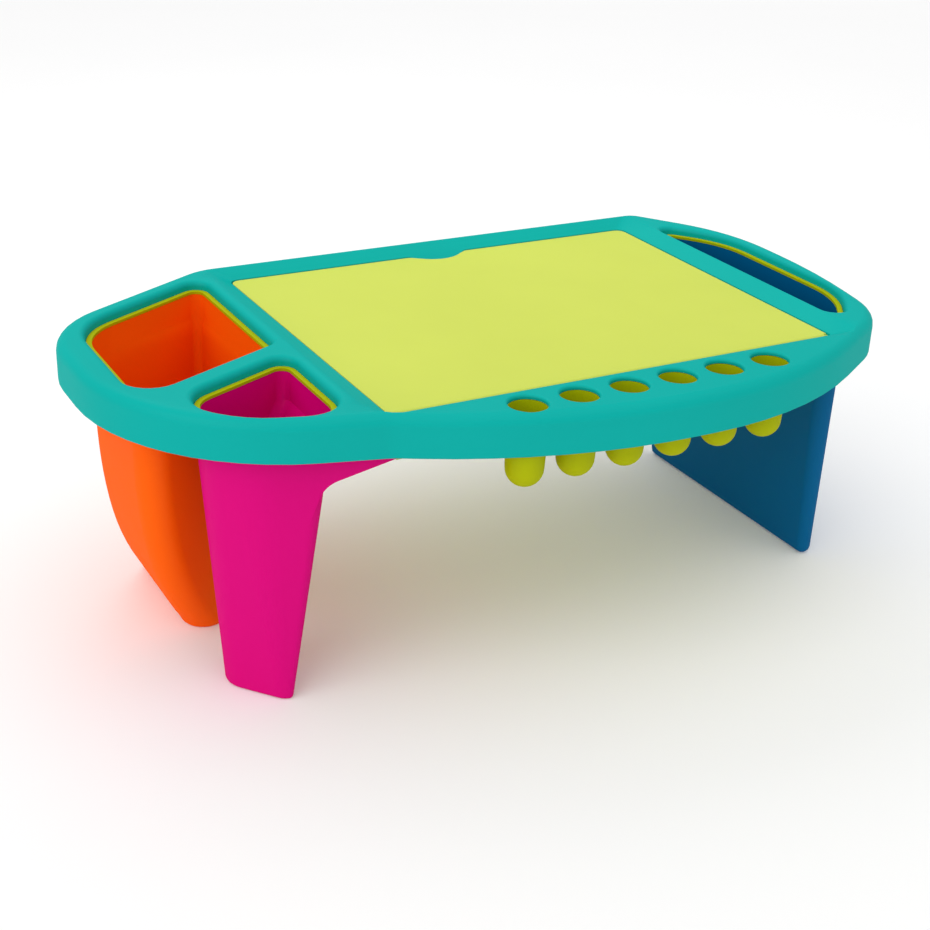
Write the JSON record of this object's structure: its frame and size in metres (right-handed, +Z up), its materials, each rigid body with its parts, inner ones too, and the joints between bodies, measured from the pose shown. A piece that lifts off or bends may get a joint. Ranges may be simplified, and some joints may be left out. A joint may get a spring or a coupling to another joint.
{
  "type": "lap desk",
  "caption": "Child's lap desk on deep bins that serve as its legs, with a lift-up lid over a shallow storage tub and a row of crayon cups along its bowed front edge.",
  "frame": {"origin": "on the floor, under the middle of the desk's bounding box", "axes": "+X towards the single bin's end, +Y towards the straight back edge with the finger notch, +Z up"},
  "size_m": [0.5, 0.305, 0.176],
  "materials": {
    "teal_plastic": "satin moulded teal plastic with a very fine texture",
    "lime_plastic": "satin moulded lime plastic",
    "pale_lime_plastic": "satin pale lime plastic, slightly milky, smooth enough to draw on",
    "orange_plastic": "satin moulded orange plastic",
    "magenta_plastic": "satin moulded magenta plastic",
    "blue_plastic": "satin moulded deep blue plastic",
    "screw_steel": "zinc-plated steel, satin"
  },
  "bodies": {
    "desk": {"top_frame": "teal_plastic", "storage_tray": "lime_plastic", "orange_bin": "orange_plastic", "magenta_bin": "magenta_plastic", "blue_bin": "blue_plastic", "tray_screws": "screw_steel", "bin_screws": "screw_steel"},
    "lid": {"lid": "pale_lime_plastic"}
  },
  "joints": [
    {"name": "lid_hinge", "type": "hinge", "parent": "desk", "child": "lid", "pos_m": [0.035, -0.092, 0.167], "axis": [1, 0, 0], "range_deg": [0, 100]}
  ]
}
